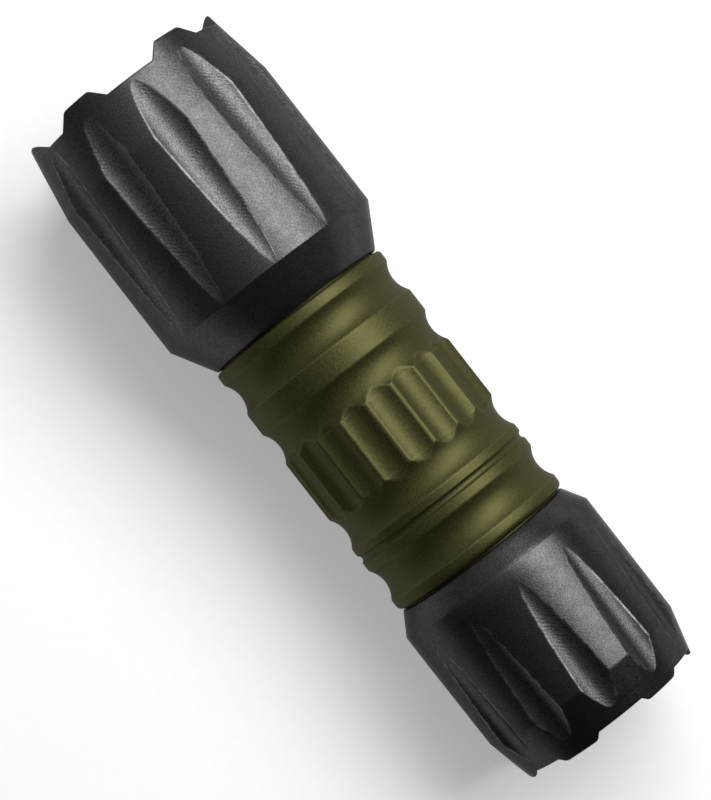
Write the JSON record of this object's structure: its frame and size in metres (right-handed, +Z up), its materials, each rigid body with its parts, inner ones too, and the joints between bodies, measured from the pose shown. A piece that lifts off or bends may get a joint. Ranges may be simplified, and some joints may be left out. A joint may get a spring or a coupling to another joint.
{
  "type": "tactical flashlight",
  "caption": "Compact one-cell tactical flashlight: fluted dark head with toothed bezel, olive ringed tube with scalloped grip, fluted tail cap with recessed push button.",
  "frame": {"origin": "on the surface the light lies on, midway between the bezel teeth and the tail teeth, under the light's own axis", "axes": "+X along the beam, from the tail to the bezel; +Z up; the light's own axis is 13.53 mm above the origin"},
  "size_m": [0.0862, 0.027, 0.0271],
  "materials": {
    "head_metal": "satin black, turned and fluted",
    "tube_green": "bead-blasted olive anodising",
    "rubber_seal": "moulded nitrile",
    "boot_rubber": "matt moulded silicone",
    "lens_glass": "clear coated glass",
    "reflector_chrome": "mirror plated bowl",
    "white_plastic": "moulded nylon",
    "led_ceramic": "white ceramic carrier",
    "led_phosphor": "yellow phosphor",
    "led_silicone": "clear moulded dome",
    "star_board": "metal-core board, white mask",
    "wire_red": "insulated wire",
    "wire_black": "insulated wire",
    "pill_brass": "turned brass",
    "contact_brass": "plated rivet",
    "circuit_board": "glass-epoxy board",
    "chip_black": "moulded components",
    "spring_steel": "plated wire",
    "cell_steel": "nickel-plated can",
    "cell_sleeve": "shrink sleeve",
    "switch_plastic": "moulded acetal"
  },
  "bodies": {
    "tube": {"body_tube": "tube_green", "front_o_ring": "rubber_seal", "rear_o_ring": "rubber_seal"},
    "light_engine": {"reflector": "reflector_chrome", "centering_ring": "white_plastic", "led_package": "led_ceramic", "led_die": "led_phosphor", "led_dome": "led_silicone", "led_board": "star_board", "led_wire_red": "wire_red", "led_wire_black": "wire_black", "pill": "pill_brass", "driver_board": "circuit_board", "driver_chips": "chip_black", "front_spring": "spring_steel"},
    "head": {"head_shell": "head_metal", "lens_o_ring": "rubber_seal", "lens": "lens_glass"},
    "cell": {"cell_can": "cell_steel", "cell_wrap": "cell_sleeve", "cell_insulator": "white_plastic", "cell_positive_cap": "cell_steel"},
    "tail": {"tail_shell": "head_metal", "switch_boot": "boot_rubber", "boot_washer": "white_plastic", "switch_housing": "switch_plastic", "switch_return_spring": "spring_steel", "switch_rivet": "contact_brass", "switch_board": "circuit_board", "switch_retaining_ring": "pill_brass", "rear_spring": "spring_steel"},
    "button": {"switch_plunger": "switch_plastic"}
  },
  "joints": [
    {"name": "head_travel", "type": "slide", "parent": "tube", "child": "light_engine", "axis": [1, 0, 0], "range_m": [0, 0.004], "deforming": ["front_spring"]},
    {"name": "head_turn", "type": "hinge", "parent": "light_engine", "child": "head", "pos_m": [0.0273, 0, 0.01353], "axis": [1, 0, 0], "range_deg": [0, 1440]},
    {"name": "tail_travel", "type": "slide", "parent": "tube", "child": "cell", "axis": [-1, 0, 0], "range_m": [0, 0.004]},
    {"name": "tail_turn", "type": "hinge", "parent": "cell", "child": "tail", "pos_m": [-0.0317, 0, 0.01353], "axis": [-1, 0, 0], "range_deg": [0, 1440]},
    {"name": "button_press", "type": "slide", "parent": "tail", "child": "button", "axis": [1, 0, 0], "range_m": [0, 0.0018], "stiffness_N_per_m": 800, "springref_m": -0.001, "deforming": ["switch_boot", "switch_return_spring"]}
  ],
  "couplings": [
    {"joint": "head_turn", "follows": "head_travel", "rad_per_m": 6283.2},
    {"joint": "tail_turn", "follows": "tail_travel", "rad_per_m": 6283.2}
  ]
}
